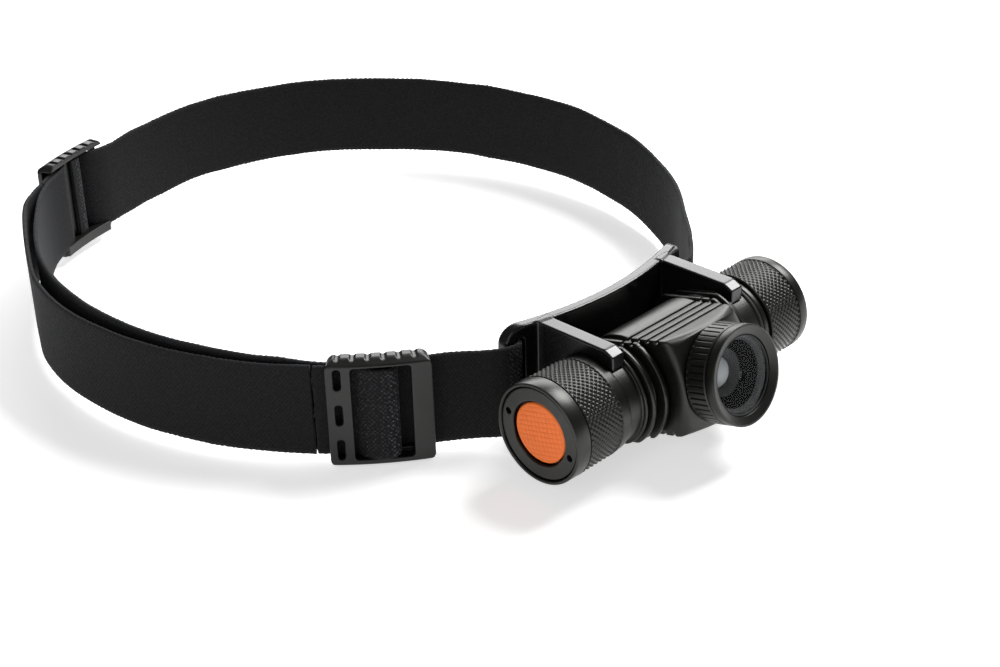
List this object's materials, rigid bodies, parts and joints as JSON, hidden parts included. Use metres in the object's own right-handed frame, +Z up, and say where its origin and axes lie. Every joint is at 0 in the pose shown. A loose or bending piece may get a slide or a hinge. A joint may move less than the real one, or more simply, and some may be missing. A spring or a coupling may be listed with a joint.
{
  "type": "headlamp",
  "caption": "Right-angle headlamp: a tubular aluminium lamp snapped into a curved bracket on an adjustable elastic head strap.",
  "frame": {"origin": "centre of the base of the bounding box; the bracket and the front slider stand on the base", "axes": "-Y is the front, where the light comes out; +X is along the tube to the battery cap; +Z is up"},
  "size_m": [0.185, 0.2308, 0.0357],
  "materials": {
    "anodised": "satin, hard anodised black",
    "black_rubber": "matte",
    "inner_plastic": "matte",
    "circuit_board": "satin",
    "contact_brass": "polished",
    "spring_steel": "polished",
    "orange_rubber": "matte, fine square grid",
    "cell_sleeve": "gloss sleeve",
    "star_board": "black solder mask",
    "led_phosphor": "gloss",
    "wire_insulation": "satin",
    "optic": "clear moulded optic",
    "bracket_plastic": "semi-gloss",
    "slider_plastic": "satin",
    "elastic_webbing": "woven elastic"
  },
  "bodies": {
    "headband": {"bracket": "bracket_plastic", "rear_slider": "slider_plastic", "strap_front": "elastic_webbing", "strap_rear": "elastic_webbing", "strap_overlap": "elastic_webbing"},
    "front_slider_body": {"front_slider": "slider_plastic", "strap_rear_end": "elastic_webbing"},
    "lamp": {"body_tube": "anodised", "switch_retaining_ring": "anodised", "boot_flange": "black_rubber", "switch_housing": "inner_plastic", "tact_switch": "inner_plastic", "switch_board": "circuit_board", "board_spacer": "inner_plastic", "driver_board": "circuit_board", "plus_contact": "contact_brass", "battery_cell": "cell_sleeve", "tube_o_ring": "black_rubber", "led_star": "star_board", "led_emitter": "led_phosphor", "led_screw_left": "spring_steel", "led_screw_right": "spring_steel", "led_lead_plus": "wire_insulation", "led_lead_minus": "wire_insulation"},
    "button": {"button_cap": "orange_rubber", "switch_plunger": "inner_plastic"},
    "focus_ring_body": {"focus_ring": "anodised"},
    "lens_barrel_body": {"lens_barrel": "anodised", "lens": "optic", "lens_seal": "black_rubber", "barrel_o_ring": "black_rubber", "guide_pin_1": "spring_steel", "guide_pin_2": "spring_steel", "guide_pin_3": "spring_steel"},
    "cap_contact": {"contact_board": "circuit_board", "contact_spring": "spring_steel"},
    "battery_cap_body": {"battery_cap": "anodised"}
  },
  "joints": [
    {"name": "lamp_tilt", "type": "hinge", "parent": "headband", "child": "lamp", "pos_m": [0.00155, -0.08537, 0.0166], "axis": [-1, 0, 0], "range_deg": [-100, 75]},
    {"name": "button_press", "type": "slide", "parent": "lamp", "child": "button", "axis": [1, 0, 0], "range_m": [0, 0.0012], "stiffness_N_per_m": 400},
    {"name": "focus_turn", "type": "hinge", "parent": "lamp", "child": "focus_ring_body", "pos_m": [0.00155, -0.08537, 0.0166], "axis": [0, -0.9674, 0.2533], "range_deg": [0, 180]},
    {"name": "lens_travel", "type": "slide", "parent": "lamp", "child": "lens_barrel_body", "axis": [0, -0.9674, 0.2533], "range_m": [0, 0.003]},
    {"name": "cap_travel", "type": "slide", "parent": "lamp", "child": "cap_contact", "axis": [1, 0, 0], "range_m": [0, 0.008]},
    {"name": "cap_turn", "type": "hinge", "parent": "cap_contact", "child": "battery_cap_body", "pos_m": [0.00155, -0.08537, 0.0166], "axis": [1, 0, 0], "range_deg": [0, 2880]},
    {"name": "front_slider_travel", "type": "hinge", "parent": "headband", "child": "front_slider_body", "pos_m": [0.00065, 0.02473, 0.0149], "axis": [0.03, 0, 0.9996], "range_deg": [-45, 0], "deforming": ["strap_overlap"]}
  ],
  "couplings": [
    {"joint": "focus_turn", "follows": "lens_travel", "rad_per_m": 1047.2},
    {"joint": "cap_turn", "follows": "cap_travel", "rad_per_m": 6283.2}
  ]
}
